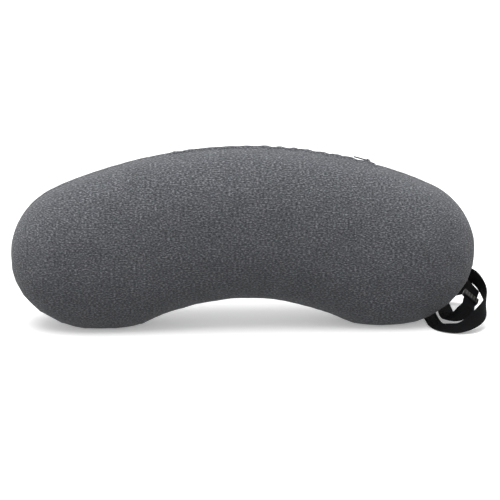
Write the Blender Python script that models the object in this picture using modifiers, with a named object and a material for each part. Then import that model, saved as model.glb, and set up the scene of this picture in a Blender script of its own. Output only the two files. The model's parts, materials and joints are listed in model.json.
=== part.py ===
"""Crescent nursing pillow standing on its two lobes, with a zipped cover and a waist belt.

Metres, +Z up: X runs along the pillow, Y through its thickness with the back at +Y.
Front and back panels of the cover meet at a seam in the plane Y = 0. The zip lies in that seam,
along the crown. The belt is sewn to the back panel near both ends: a long half with the buckle
plug on the right, and a short half with the buckle socket on the left.
"""

from math import atan2, cos, pi, radians, sin, sqrt

import bmesh
import bpy
from mathutils import Matrix, Vector
from mathutils.bvhtree import BVHTree
from mathutils.geometry import interpolate_bezier

# ---------------------------------------------------------------- driving dimensions
LENGTH = 0.640
HEIGHT = 0.248
THICKNESS = 0.150
ARCH_HEIGHT = 0.037       # floor to the hollow side, at mid length
END_RADIUS = 0.098
END_LIFT = 0.0035         # how far each end's arc would clear the floor
LOBE_RADIUS = 0.150
LOBE_SINK = 0.006         # how far the floor presses each lobe flat
END_ROUNDING = 0.105      # the thickness falls off within this distance of each tip
FULLNESS = 2.25           # section exponent: 2 is an ellipse

COVER_WALL = 0.0030
LINER_WALL = 0.0010
LAYER_GAP = 0.0004
SEAM_GAP = 0.0008
FIT = 0.0003              # clearance between pieces that touch

ZIP_LEFT = -0.100         # along the crown from mid length
ZIP_RIGHT = 0.185
ZIP_OPENING = 0.014
TAPE_WALL = 0.0006
TAPE_RISE = 0.0008        # the tape's underside above the cover's inner face
COIL_WIDTH = 0.0014
COIL_HEIGHT = 0.0017
COIL_CHANNEL = 0.0016     # clear width between the two coils
STOP_INSET = 0.003        # from each end of the opening
STOP_LENGTH = 0.004
STOP_HEIGHT = 0.0029

SLIDER_LENGTH = 0.011
SLIDER_WIDTH = 0.009
SLIDER_TOP_WALL = 0.0012
SLIDER_BASE_WALL = 0.0006
SLIDER_POST_LENGTH = 0.005
BRIDGE_LENGTH = 0.0048
BRIDGE_WIDTH = 0.0016
BRIDGE_WALL = 0.0008
PULL_LENGTH = 0.021
PULL_WIDTH = 0.0058
PULL_WALL = 0.0012

WEBBING_WIDTH = 0.020
WEBBING_WALL = 0.0014
WEBBING_STEP = 0.006      # between the cross-sections of a strap
PATCH_WALL = 0.0010
PATCH_LIFT = 0.0007       # clears the edges between the panel's flat faces
PATCH_MARGIN = 0.005      # how far a patch shows round its strap
PATCH_LENGTH = 0.030
PATCH_STEPS = 5
ROOT_FROM_TIP = 0.058     # each strap's sewn length, centred this far from the tip
RIGHT_ROOT_HEIGHT = 0.057
LEFT_ROOT_HEIGHT = 0.100
SEWN_LENGTH = 0.024
SEWN_STEPS = 3
LEFT_HANG = (0.0, 0.0040, -0.0300)       # the socket's bar, from the end of the left sewn length

BUCKLE_WIDTH = 0.0270
BUCKLE_PLATE = 0.0036
BUCKLE_BAR = 0.0030
BUCKLE_SLOT = 0.0045      # what the webbing passes through
SIDE_CLEARANCE = 0.0006   # beside the webbing in a slot
RETURN_LENGTH = 0.016     # webbing sewn back on itself beyond a bar
PLUG_BODY = 0.0075
ARM_LENGTH = 0.0200
BARB_START = 0.0124       # along an arm, from its root
BARB_LENGTH = 0.0022
ARM_WIDTH = 0.0026
ARM_INSET = 0.0030        # outer side of an arm from the plug's side
BARB_DEPTH = 0.0024
TONGUE_LENGTH = 0.0150
TONGUE_WIDTH = 0.0050
SOCKET_LENGTH = 0.0230
SOCKET_WALL = 0.0016
SOCKET_CLEARANCE = 0.0005  # round the plug, inside the socket
WINDOW_FROM_MOUTH = 0.0070
WINDOW_LENGTH = 0.0090
KEEPER_LENGTH = 0.0120
KEEPER_WALL = 0.0018

FACET_LENGTH = 0.0178     # mean length of the pillow's flat faces along X
ROUND_STEPS = 24
ARC_STEP = radians(1.3)

# The long half's route. Each row is a point of its centre line, as its distance out from the
# pillow's right tip, Y and Z, and then the direction of the webbing's upper edge.
RIGHT_ROUTE = (
    ((-0.024, 0.0690, 0.0560), (0.0, 0.0, 1.0)),
    ((-0.004, 0.0620, 0.0530), (0.0, 0.0, 1.0)),
    ((0.0120, 0.0420, 0.0480), (0.05, 0.1, 1.0)),
    ((0.0180, 0.0120, 0.0395), (0.1, 0.2, 1.0)),
    ((0.0165, -0.0180, 0.0310), (0.1, 0.3, 1.0)),
    ((0.0070, -0.0450, 0.0235), (-0.1, 0.5, 0.9)),
    ((-0.0090, -0.0640, 0.0150), (-0.1, 0.8, 0.7)),
    ((-0.0280, -0.0690, 0.0075), (0.1, 0.9, 0.45)),
    ((-0.0460, -0.0590, 0.0050), (0.5, 0.8, 0.3)),
    ((-0.0550, -0.0380, 0.0025), (0.9, 0.3, 0.1)),
    ((-0.0560, -0.0120, 0.0012), (1.0, 0.0, 0.0)),
    ((-0.0560, 0.0160, 0.0011), (1.0, 0.0, 0.0)),
    ((-0.0540, 0.0420, 0.0012), (1.0, -0.2, 0.0)),
    ((-0.0440, 0.0660, 0.0025), (0.7, -0.7, 0.1)),
    ((-0.0250, 0.0800, 0.0090), (0.2, -0.9, 0.5)),
    ((-0.0040, 0.0740, 0.0230), (-0.3, -0.4, 0.9)),
    ((0.0060, 0.0480, 0.0380), (-0.6, 0.0, 0.8)),
    ((0.0060, 0.0210, 0.0400), (-0.74, 0.15, 0.65)),
    ((0.0025, 0.0105, 0.0370), (-0.74, 0.15, 0.65)),
    ((-0.0080, -0.0210, 0.0280), (-0.74, 0.15, 0.65)),
    ((-0.0115, -0.0315, 0.0250), (-0.74, 0.2, 0.64)),
    ((-0.0240, -0.0400, 0.0185), (-0.4, 0.7, 0.6)),
    ((-0.0360, -0.0300, 0.0140), (0.6, 0.7, 0.3)),
    ((-0.0370, -0.0080, 0.0110), (0.95, 0.1, 0.2)),
    ((-0.0350, 0.0180, 0.0100), (1.0, 0.0, 0.1)),
    ((-0.0350, 0.0450, 0.0110), (1.0, -0.1, 0.0)),
    ((-0.0440, 0.0760, 0.0125), (0.8, 0.5, 0.0)),
    ((-0.0660, 0.0960, 0.0100), (0.3, 0.9, 0.0)),
    ((-0.0900, 0.1000, 0.0050), (0.0, 1.0, 0.0)),
)
PLUG_PLACE = (-0.1130, 0.1000, 0.0042)   # the plug's bar, from the right tip
KEEPER_SPAN = 18                         # the keeper rides on the straight run from this row to the next

# ---------------------------------------------------------------- worked out from them
END_X = LENGTH / 2 - END_RADIUS
TIP_Z = END_RADIUS + END_LIFT
TIP_DROP = HEIGHT - TIP_Z
CROWN_RADIUS = (END_X**2 + TIP_DROP**2 - END_RADIUS**2) / (2 * (TIP_DROP - END_RADIUS))
CROWN_Z = HEIGHT - CROWN_RADIUS
LOBE_Z = LOBE_RADIUS - LOBE_SINK
LOBE_X = END_X - sqrt((LOBE_RADIUS - END_RADIUS) ** 2 - (LOBE_Z - TIP_Z) ** 2)
ARCH_DROP = LOBE_Z - ARCH_HEIGHT
ARCH_RADIUS = (LOBE_X**2 + ARCH_DROP**2 - LOBE_RADIUS**2) / (2 * (LOBE_RADIUS - ARCH_DROP))
ARCH_Z = ARCH_HEIGHT - ARCH_RADIUS
TAPE_TOP = COVER_WALL - TAPE_RISE - TAPE_WALL    # below the crown
LENGTH_STEPS = round(LENGTH / FACET_LENGTH)
LINER_INSET = COVER_WALL + LAYER_GAP
CORE_INSET = LINER_INSET + LINER_WALL + LAYER_GAP
WRAP_RADIUS = sqrt(BUCKLE_BAR**2 + BUCKLE_PLATE**2) / 2 + FIT   # lets the bar turn inside the webbing
WRAP_TURNS = [radians(angle) for angle in (115, 90, 60, 30, 0)]

# ---------------------------------------------------------------- scene and objects
for old in list(bpy.data.objects):
    bpy.data.objects.remove(old, do_unlink=True)
parts = bpy.data.collections.new("nursing_pillow")
cutters = bpy.data.collections.new("cutters")
bpy.context.scene.collection.children.link(parts)
bpy.context.scene.collection.children.link(cutters)


def make_material(name, colour, roughness, metallic=0.0):
    material = bpy.data.materials.new(name)
    material.use_nodes = True
    shader = material.node_tree.nodes["Principled BSDF"]
    shader.inputs["Base Color"].default_value = (*colour, 1.0)
    shader.inputs["Roughness"].default_value = roughness
    shader.inputs["Metallic"].default_value = metallic
    return material


JERSEY = make_material("grey_jersey", (0.125, 0.130, 0.142), 0.92)
LINING = make_material("white_liner", (0.78, 0.78, 0.76), 0.90)
FOAM = make_material("foam", (0.86, 0.83, 0.70), 0.95)
TAPE = make_material("zip_tape", (0.045, 0.046, 0.050), 0.85)
COIL = make_material("zip_coil", (0.040, 0.041, 0.045), 0.40)
METAL = make_material("slider_metal", (0.050, 0.050, 0.055), 0.35, 0.8)
WEBBING = make_material("black_webbing", (0.012, 0.012, 0.014), 0.75)
PLASTIC = make_material("black_plastic", (0.014, 0.014, 0.015), 0.38)


def add_object(name, data, material, place=None):
    """A named part whose data lies in its own frame, at place."""
    obj = bpy.data.objects.new(name, data)
    data.materials.append(material)
    if place is not None:
        obj.matrix_world = place
    parts.objects.link(obj)
    return obj


def mesh_from(name, bm, smooth=False):
    bmesh.ops.recalc_face_normals(bm, faces=bm.faces)
    mesh = bpy.data.meshes.new(name)
    bm.to_mesh(mesh)
    bm.free()
    if smooth:
        mesh.shade_smooth()
        mesh.set_sharp_from_angle(angle=radians(40))
    return mesh


def block(bm, low, high):
    """A box between two corners."""
    low, high = Vector(low), Vector(high)
    size = Matrix.Diagonal((*(high - low), 1.0))
    bmesh.ops.create_cube(bm, size=1.0, matrix=Matrix.Translation((low + high) / 2) @ size)


def cutter(name, bm, place=None):
    obj = bpy.data.objects.new(name, mesh_from(name, bm))
    if place is not None:
        obj.matrix_world = place
    obj.hide_render = True
    obj.display_type = "WIRE"
    cutters.objects.link(obj)
    return obj


def boolean(obj, other, operation="DIFFERENCE"):
    modifier = obj.modifiers.new(f"{operation.lower()}_{other.name}", "BOOLEAN")
    modifier.operation = operation
    modifier.solver = "EXACT"
    modifier.object = other


def plate(name, outlines, thickness, material, place):
    """A flat piece: the first outline is its edge, and any others are holes through it."""
    curve = bpy.data.curves.new(name, "CURVE")
    curve.dimensions = "2D"
    curve.fill_mode = "BOTH"
    curve.extrude = thickness / 2
    for outline in outlines:
        spline = curve.splines.new("POLY")
        spline.points.add(len(outline) - 1)
        for point, (x, y) in zip(spline.points, outline):
            point.co = (x, y, 0.0, 1.0)
        spline.use_cyclic_u = True
    return add_object(name, curve, material, place)


def rectangle(x0, x1, y0, y1):
    return ((x0, y0), (x1, y0), (x1, y1), (x0, y1))


# ---------------------------------------------------------------- the pillow's form
def half_outlines():
    """The right half's edge as two chains of arcs (x, z, radius, from, to), from the tip to mid length."""
    crown_join = atan2(TIP_Z - CROWN_Z, END_X)
    lobe_join = atan2(TIP_Z - LOBE_Z, END_X - LOBE_X)
    arch_join = atan2(ARCH_Z - LOBE_Z, -LOBE_X)
    crown = (
        (END_X, TIP_Z, END_RADIUS, 0.0, crown_join),
        (0.0, CROWN_Z, CROWN_RADIUS, crown_join, pi / 2),
    )
    arch = (
        (END_X, TIP_Z, END_RADIUS, 0.0, lobe_join),
        (LOBE_X, LOBE_Z, LOBE_RADIUS, lobe_join, arch_join),
        (0.0, ARCH_Z, ARCH_RADIUS, arch_join + pi, pi / 2),
    )
    return crown, arch


def along(chain, share):
    """The point at a share of a chain's length."""
    lengths = [radius * abs(end - start) for _, _, radius, start, end in chain]
    left = share * sum(lengths)
    for arc, length in zip(chain, lengths):
        if left <= length:
            break
        left -= length
    x, z, radius, start, end = arc
    angle = start + (end - start) * min(left / length, 1.0)
    return x + radius * cos(angle), z + radius * sin(angle)


CROWN_EDGE, ARCH_EDGE = half_outlines()


def form_point(length_share, turn):
    """length_share runs from -1 to 1 between the tips, and turn is the angle round the section."""
    side = 1.0 if length_share >= 0 else -1.0
    top_x, top_z = along(CROWN_EDGE, 1 - abs(length_share))
    low_x, low_z = along(ARCH_EDGE, 1 - abs(length_share))
    from_tip = LENGTH / 2 - (top_x + low_x) / 2
    closing = max(1 - from_tip / END_ROUNDING, 0.0)
    depth = THICKNESS / 2 * max(1 - closing**FULLNESS, 0.0) ** (1 / FULLNESS)
    upward, backward = (
        abs(value) ** (2 / FULLNESS) * (1 if value > 0 else -1) for value in (sin(turn), cos(turn))
    )
    return Vector((
        side * (top_x + low_x + upward * (top_x - low_x)) / 2,
        depth * backward,
        (top_z + low_z + upward * (top_z - low_z)) / 2,
    ))


def form(inset):
    """The closed surface that lies this far inside the cover's outer face."""
    bm = bmesh.new()
    bmesh.ops.create_uvsphere(bm, u_segments=ROUND_STEPS, v_segments=LENGTH_STEPS, radius=1.0)
    for vert in bm.verts:
        vert.co = form_point(max(min(vert.co.z, 1.0), -1.0), atan2(vert.co.y, vert.co.x))
    if bm.calc_volume(signed=True) < 0:
        bmesh.ops.reverse_faces(bm, faces=bm.faces)
    bm.normal_update()
    for vert in bm.verts:
        vert.co -= vert.normal * inset
    for vert in bm.verts:
        vert.co.z = max(vert.co.z, inset)
        if abs(vert.co.y) < LAYER_GAP / 4:
            vert.co.y = 0.0
    return bm


def half_shell(name, side, inset, wall, material):
    """The front (side -1) or back (side 1) panel of one layer."""
    joined = bpy.data.meshes.new(name)
    bm = bmesh.new()
    for depth in (inset, inset + wall):
        layer = form(depth)
        if depth > inset:
            bmesh.ops.reverse_faces(layer, faces=layer.faces)
        away = [face for face in layer.faces if face.calc_center_median().y * side < 0]
        bmesh.ops.delete(layer, geom=away, context="FACES")
        for vert in layer.verts:
            if vert.co.y * side < SEAM_GAP / 2:
                vert.co.y = side * SEAM_GAP / 2
        layer.to_mesh(joined)
        layer.free()
        bm.from_mesh(joined)
    rims = [edge for edge in bm.edges if edge.is_boundary]
    bmesh.ops.bridge_loops(bm, edges=rims)
    bpy.data.meshes.remove(joined)
    return add_object(name, mesh_from(name, bm, smooth=True), material)


# ---------------------------------------------------------------- the zip
def crown_turn(distance):
    """The turn about the crown's axis that carries mid length this far along the crown."""
    return Matrix.Rotation(distance / CROWN_RADIUS, 4, "Y")


def crown_bar(bm, along_crown, above_crown, across):
    """A bar that follows the crown: each argument is a (low, high) pair of distances."""
    start, end = (distance / CROWN_RADIUS for distance in along_crown)
    low, high = (CROWN_RADIUS + distance for distance in above_crown)
    ends = ((across[0], low), (across[1], low), (across[1], high), (across[0], high))
    corners = [bm.verts.new((0.0, y, z)) for y, z in ends]
    face = bm.faces.new(corners)
    bmesh.ops.rotate(bm, verts=corners, cent=(0, 0, 0), matrix=Matrix.Rotation(start, 3, "Y"))
    steps = max(int((end - start) / ARC_STEP), 1)
    bmesh.ops.spin(bm, geom=[face], cent=(0, 0, 0), axis=(0, 1, 0), angle=end - start, steps=steps)


CROWN_AXIS = Matrix.Translation((0.0, 0.0, CROWN_Z))
COIL_TOP = COIL_HEIGHT + FIT - TAPE_TOP
STOP_REACH = STOP_INSET + STOP_LENGTH
SLIDER_TRAVEL = ZIP_RIGHT - ZIP_LEFT - 2 * (STOP_REACH + FIT) - SLIDER_LENGTH
SLIDER_PLACE = ZIP_RIGHT - STOP_REACH - FIT - SLIDER_LENGTH / 2
PLATE_TOP = COIL_TOP + FIT + SLIDER_TOP_WALL
PIN_HEIGHT = PLATE_TOP + FIT + PULL_WALL / 2


def zip_bar(name, along_crown, above_crown, across, material):
    bm = bmesh.new()
    crown_bar(bm, along_crown, above_crown, across)
    return add_object(name, mesh_from(name, bm), material, CROWN_AXIS)


def make_zip():
    for name, side in (("front", -1), ("back", 1)):
        tape = sorted((side * COIL_CHANNEL / 2, side * (ZIP_OPENING / 2 - FIT)))
        coil = sorted((side * COIL_CHANNEL / 2, side * (COIL_CHANNEL / 2 + COIL_WIDTH)))
        zip_bar(f"zipper_tape_{name}", (ZIP_LEFT + FIT, ZIP_RIGHT - FIT),
                (-TAPE_TOP - TAPE_WALL, -TAPE_TOP), tape, TAPE)
        zip_bar(f"zipper_coil_{name}", (ZIP_LEFT + STOP_REACH + FIT, ZIP_RIGHT - STOP_REACH - FIT),
                (FIT - TAPE_TOP, COIL_TOP), coil, COIL)
    width = COIL_CHANNEL / 2 + COIL_WIDTH
    for name, start in (("bottom", ZIP_LEFT + STOP_INSET), ("top", ZIP_RIGHT - STOP_REACH)):
        zip_bar(f"zipper_{name}_stop", (start, start + STOP_LENGTH),
                (FIT - TAPE_TOP, FIT - TAPE_TOP + STOP_HEIGHT), (-width, width), METAL)


def make_slider():
    """The slider's origin is the crown's axis, about which it runs, and the pull's is its pin."""
    base = -TAPE_TOP - TAPE_WALL - FIT
    half = SLIDER_LENGTH / 2
    post = COIL_CHANNEL / 2 - FIT
    place = CROWN_AXIS @ crown_turn(SLIDER_PLACE)
    rise = Vector((0, 0, CROWN_RADIUS))
    bm = bmesh.new()
    block(bm, rise + Vector((-half, -SLIDER_WIDTH / 2, COIL_TOP + FIT)),
          rise + Vector((half, SLIDER_WIDTH / 2, PLATE_TOP)))
    slider = add_object("zipper_slider", mesh_from("zipper_slider", bm), METAL, place)
    bridge_top = PIN_HEIGHT + PULL_WALL / 2 + FIT + BRIDGE_WALL
    opening = BRIDGE_LENGTH / 2 - BRIDGE_WALL
    shapes = (
        ("slider_post", (-SLIDER_POST_LENGTH / 2, -post, base - SLIDER_BASE_WALL / 2),
         (SLIDER_POST_LENGTH / 2, post, PLATE_TOP - SLIDER_TOP_WALL / 2), "UNION"),
        ("slider_base", (-half, -SLIDER_WIDTH / 2, base - SLIDER_BASE_WALL),
         (half, SLIDER_WIDTH / 2, base), "UNION"),
        ("slider_bridge", (-BRIDGE_LENGTH / 2, -BRIDGE_WIDTH / 2, PLATE_TOP - SLIDER_TOP_WALL / 2),
         (BRIDGE_LENGTH / 2, BRIDGE_WIDTH / 2, bridge_top), "UNION"),
        ("slider_bridge_opening", (-opening, -BRIDGE_WIDTH, PLATE_TOP),
         (opening, BRIDGE_WIDTH, bridge_top - BRIDGE_WALL), "DIFFERENCE"),
    )
    for name, low, high, operation in shapes:
        bm = bmesh.new()
        block(bm, rise + Vector(low), rise + Vector(high))
        boolean(slider, cutter(name, bm, place), operation)
    make_pull(place @ Matrix.Translation(rise + Vector((0, 0, PIN_HEIGHT))))


def make_pull(place):
    """The pull lies back over the closed coils. Its end bar passes under the slider's bridge."""
    bar = PULL_WALL / 2
    eye_length = BRIDGE_LENGTH / 2 + FIT * 2
    eye = BRIDGE_WIDTH / 2 + FIT
    shoulder = PULL_WIDTH / 2
    tip = -(PULL_LENGTH - shoulder)
    tip_arc = [(tip - shoulder * sin(k * pi / 8), shoulder * cos(k * pi / 8)) for k in range(9)]
    outline = [(bar, shoulder), *tip_arc, (bar, -shoulder)]
    hole = rectangle(-bar - eye_length, -bar, -eye, eye)
    plate("zipper_pull", (outline, hole), PULL_WALL, METAL, place)


# ---------------------------------------------------------------- webbing
PILLOW = form(0.0)
SURFACE = BVHTree.FromBMesh(PILLOW)
PILLOW.free()


def on_back(x, z, above):
    """The point this far out from the back panel at x, z."""
    point, normal, _, _ = SURFACE.ray_cast(Vector((x, THICKNESS, z)), Vector((0, -1, 0)))
    return point + normal * above


def smooth_stations(stations):
    """Sections at an even step on the smooth curve through the stations, each (point, edge direction)."""
    points = [Vector(point) for point, _ in stations]
    edges = [Vector(edge).normalized() for _, edge in stations]
    tangents = [
        (points[min(i + 1, len(points) - 1)] - points[max(i - 1, 0)]) / 2 for i in range(len(points))
    ]
    found = []
    for i in range(len(points) - 1):
        span = (points[i + 1] - points[i]).length
        shrink = [min(1.0, span / tangent.length) / 3 for tangent in tangents[i:i + 2]]
        steps = max(round(span / WEBBING_STEP), 1)
        curve = interpolate_bezier(points[i], points[i] + tangents[i] * shrink[0],
                                   points[i + 1] - tangents[i + 1] * shrink[1], points[i + 1], steps + 1)
        shares = [step / steps for step in range(steps)]
        found += [(point, edges[i].lerp(edges[i + 1], share)) for point, share in zip(curve, shares)]
    found.append((points[-1], edges[-1]))
    return found


def bar_wrap(bar, incoming, edge):
    """Stations round a buckle's bar: in on one side, round it, and back along the other side."""
    incoming = incoming.normalized()
    edge = (edge - incoming * edge.dot(incoming)).normalized()
    over = edge.cross(incoming)
    radius = WRAP_RADIUS + WEBBING_WALL / 2
    together = WEBBING_WALL / 2 + FIT / 2
    upper = [(-RETURN_LENGTH, together), (-2.6 * radius, together)]
    upper += [(radius * cos(angle), radius * sin(angle)) for angle in WRAP_TURNS]
    path = upper + [(run, -rise) for run, rise in reversed(upper[:-1])]
    return [(bar + incoming * run + over * rise, edge) for run, rise in path]


def webbing(name, stations):
    """A flat strap through the stations, as an open strip that Solidify gives its wall."""
    bm = bmesh.new()
    sections = smooth_stations(stations)
    rows = []
    for i, (point, edge) in enumerate(sections):
        heading = sections[min(i + 1, len(sections) - 1)][0] - sections[max(i - 1, 0)][0]
        edge = (edge - heading * edge.dot(heading) / heading.length_squared).normalized()
        half = edge * (WEBBING_WIDTH / 2)
        rows.append((bm.verts.new(point + half), bm.verts.new(point - half)))
    for (upper, lower), (next_upper, next_lower) in zip(rows, rows[1:]):
        bm.faces.new((upper, lower, next_lower, next_upper))
    mesh = bpy.data.meshes.new(name)
    bm.to_mesh(mesh)
    bm.free()
    strap = add_object(name, mesh, WEBBING)
    wall = strap.modifiers.new("wall", "SOLIDIFY")
    wall.thickness = WEBBING_WALL
    wall.offset = 0.0
    return strap


def patch(name, x, z, length_x, length_z):
    """A reinforcing patch that lies on the back panel."""
    bm = bmesh.new()
    bmesh.ops.create_grid(bm, x_segments=PATCH_STEPS, y_segments=PATCH_STEPS, size=0.5)
    for vert in bm.verts:
        vert.co = on_back(x + vert.co.x * length_x, z + vert.co.y * length_z, PATCH_LIFT)
    bmesh.ops.recalc_face_normals(bm, faces=bm.faces)
    if sum((face.normal for face in bm.faces), Vector()).y < 0:
        bmesh.ops.reverse_faces(bm, faces=bm.faces)
    mesh = bpy.data.meshes.new(name)
    bm.to_mesh(mesh)
    bm.free()
    wall = add_object(name, mesh, WEBBING).modifiers.new("wall", "SOLIDIFY")
    wall.thickness = PATCH_WALL
    wall.offset = 1.0


def sewn_root(x, z, heading):
    """Stations of a strap's sewn length, which lies on its patch."""
    above = PATCH_LIFT + PATCH_WALL + 3 * FIT + WEBBING_WALL / 2
    along_x, along_z = heading
    stations = []
    for k in range(SEWN_STEPS):
        run = SEWN_LENGTH * (k / (SEWN_STEPS - 1) - 0.5)
        middle_x, middle_z = x + run * along_x, z + run * along_z
        reach_x, reach_z = abs(along_z) * WEBBING_WIDTH / 2, abs(along_x) * WEBBING_WIDTH / 2
        edge = (on_back(middle_x + reach_x, middle_z + reach_z, 0)
                - on_back(middle_x - reach_x, middle_z - reach_z, 0))
        stations.append((on_back(middle_x, middle_z, above), edge))
    return stations


def frame_of(origin, along_x, along_y):
    """The matrix of a local frame with these X and Y directions at origin."""
    x_axis = along_x.normalized()
    z_axis = x_axis.cross(along_y).normalized()
    y_axis = z_axis.cross(x_axis)
    turned = Matrix((x_axis, y_axis, z_axis)).transposed().to_4x4()
    return Matrix.Translation(origin) @ turned


# ---------------------------------------------------------------- buckle and keeper
SLOT_HALF = WEBBING_WIDTH / 2 + SIDE_CLEARANCE
SLOT_END = BUCKLE_BAR / 2 + BUCKLE_SLOT
PLUG_FRONT = SLOT_END + PLUG_BODY
ARM_OUTER = BUCKLE_WIDTH / 2 - ARM_INSET


def make_plug(place):
    """Local X points into the socket and Y along the bar, which is at the origin."""
    side = BUCKLE_WIDTH / 2
    tongue = TONGUE_WIDTH / 2
    body = ((-BUCKLE_BAR / 2, -side), (PLUG_FRONT, -side), (PLUG_FRONT, -tongue),
            (PLUG_FRONT + TONGUE_LENGTH, -tongue), (PLUG_FRONT + TONGUE_LENGTH, tongue),
            (PLUG_FRONT, tongue), (PLUG_FRONT, side), (-BUCKLE_BAR / 2, side))
    slot = rectangle(BUCKLE_BAR / 2, SLOT_END, -SLOT_HALF, SLOT_HALF)
    plate("buckle_plug", (body, slot), BUCKLE_PLATE, PLASTIC, place)
    for name, sign in (("left", -1), ("right", 1)):
        outline = [(0.0, -ARM_WIDTH / 2), (ARM_LENGTH, -ARM_WIDTH / 2), (ARM_LENGTH, ARM_WIDTH * 0.3),
                   (BARB_START + BARB_LENGTH, ARM_WIDTH / 2 + BARB_DEPTH),
                   (BARB_START, ARM_WIDTH / 2 + BARB_DEPTH), (BARB_START, ARM_WIDTH / 2), (0.0, ARM_WIDTH / 2)]
        outline = [(x, sign * y) for x, y in outline]
        root = Matrix.Translation((PLUG_FRONT + FIT, sign * (ARM_OUTER - ARM_WIDTH / 2), 0))
        plate(f"buckle_arm_{name}", (outline,), BUCKLE_PLATE, PLASTIC, place @ root)


def make_socket(place):
    """Local X points out of the mouth and Y along the bar, which is at the origin."""
    side = BUCKLE_WIDTH / 2
    slot = rectangle(BUCKLE_BAR / 2, SLOT_END, -SLOT_HALF, SLOT_HALF)
    socket = plate("buckle_socket_frame", (rectangle(-BUCKLE_BAR / 2, SLOT_END + SOCKET_WALL, -side, side),
                                           slot), BUCKLE_PLATE, PLASTIC, place)
    graph = bpy.context.evaluated_depsgraph_get()
    mesh = bpy.data.meshes.new_from_object(socket.evaluated_get(graph))
    bpy.data.objects.remove(socket, do_unlink=True)
    bm = bmesh.new()
    bm.from_mesh(mesh)
    bpy.data.meshes.remove(mesh)
    bmesh.ops.remove_doubles(bm, verts=bm.verts, dist=1e-6)
    socket = add_object("buckle_socket", mesh_from("buckle_socket", bm), PLASTIC, place)
    inside = BUCKLE_PLATE / 2 + SOCKET_CLEARANCE
    outside = inside + SOCKET_WALL
    mouth = SLOT_END + SOCKET_LENGTH
    window = mouth - WINDOW_FROM_MOUTH
    throat = ARM_OUTER + SOCKET_CLEARANCE
    shapes = (
        ("socket_box", (SLOT_END, -side, -outside), (mouth, side, outside), "UNION"),
        ("socket_cavity", (SLOT_END + SOCKET_WALL, -throat, -inside), (mouth + SOCKET_WALL, throat, inside),
         "DIFFERENCE"),
        ("socket_windows", (window - WINDOW_LENGTH, -side * 2, -inside), (window, side * 2, inside),
         "DIFFERENCE"),
    )
    for name, low, high, operation in shapes:
        bm = bmesh.new()
        block(bm, low, high)
        boolean(socket, cutter(name, bm, place), operation)


def make_keeper(place):
    """A loop that rides on the webbing. Local X runs along the strap and Y across it."""
    inner_y = WEBBING_WIDTH / 2 + SIDE_CLEARANCE
    inner_z = WEBBING_WALL / 2 + FIT
    half = KEEPER_LENGTH / 2
    bm = bmesh.new()
    block(bm, (-half, -inner_y - KEEPER_WALL, -inner_z - KEEPER_WALL),
          (half, inner_y + KEEPER_WALL, inner_z + KEEPER_WALL))
    keeper = add_object("belt_keeper", mesh_from("belt_keeper", bm), PLASTIC, place)
    bm = bmesh.new()
    block(bm, (-KEEPER_LENGTH, -inner_y, -inner_z), (KEEPER_LENGTH, inner_y, inner_z))
    boolean(keeper, cutter("keeper_opening", bm, place))


# ---------------------------------------------------------------- assembly
def make_pillow():
    for name, side in (("front", -1), ("back", 1)):
        cover = half_shell(f"cover_{name}", side, 0.0, COVER_WALL, JERSEY)
        boolean(cover, ZIP_CUT)
        half_shell(f"liner_{name}", side, LINER_INSET, LINER_WALL, LINING)
    add_object("foam_core", mesh_from("foam_core", form(CORE_INSET), smooth=True), FOAM)


def make_right_belt():
    tip = Vector((LENGTH / 2, 0, 0))
    root_x = LENGTH / 2 - ROOT_FROM_TIP
    patch("belt_patch_right", root_x, RIGHT_ROOT_HEIGHT, PATCH_LENGTH, WEBBING_WIDTH + 2 * PATCH_MARGIN)
    route = [(Vector(point) + tip, Vector(edge)) for point, edge in RIGHT_ROUTE]
    bar = Vector(PLUG_PLACE) + tip
    incoming = bar - route[-1][0]
    incoming.z = 0.0
    wrap = bar_wrap(bar, incoming, Vector((0, 1, 0)))
    webbing("belt_webbing_right", sewn_root(root_x, RIGHT_ROOT_HEIGHT, (1, 0)) + route + wrap)
    make_plug(frame_of(bar, incoming, Vector((0, 1, 0))))
    (start, start_edge), (end, end_edge) = route[KEEPER_SPAN:KEEPER_SPAN + 2]
    make_keeper(frame_of((start + end) / 2, end - start, start_edge + end_edge))


def make_left_belt():
    root_x = ROOT_FROM_TIP - LENGTH / 2
    patch("belt_patch_left", root_x, LEFT_ROOT_HEIGHT, WEBBING_WIDTH + 2 * PATCH_MARGIN, PATCH_LENGTH)
    root = sewn_root(root_x, LEFT_ROOT_HEIGHT, (0, -1))
    down = Vector((0, 0, -1))
    bar = root[-1][0] + Vector(LEFT_HANG)
    wrap = bar_wrap(bar, down, Vector((1, 0, 0)))
    webbing("belt_webbing_left", root + wrap)
    make_socket(frame_of(bar, down, Vector((1, 0, 0))))


zip_slot = bmesh.new()
crown_bar(zip_slot, (ZIP_LEFT, ZIP_RIGHT), (-COVER_WALL - LAYER_GAP / 2, COVER_WALL),
          (-ZIP_OPENING / 2, ZIP_OPENING / 2))
ZIP_CUT = cutter("zip_slot", zip_slot, CROWN_AXIS)

make_pillow()
make_zip()
make_slider()
make_right_belt()
make_left_belt()
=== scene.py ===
"""The looks of a crescent nursing pillow: heather jersey cover, zip, webbing belt and buckle."""

import json
from math import atan2, cos, exp, hypot, pi, radians, sin, sqrt

import bmesh
import bpy
from mathutils import Matrix, Vector, noise
from mathutils.bvhtree import BVHTree
from mathutils.geometry import interpolate_bezier


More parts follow.
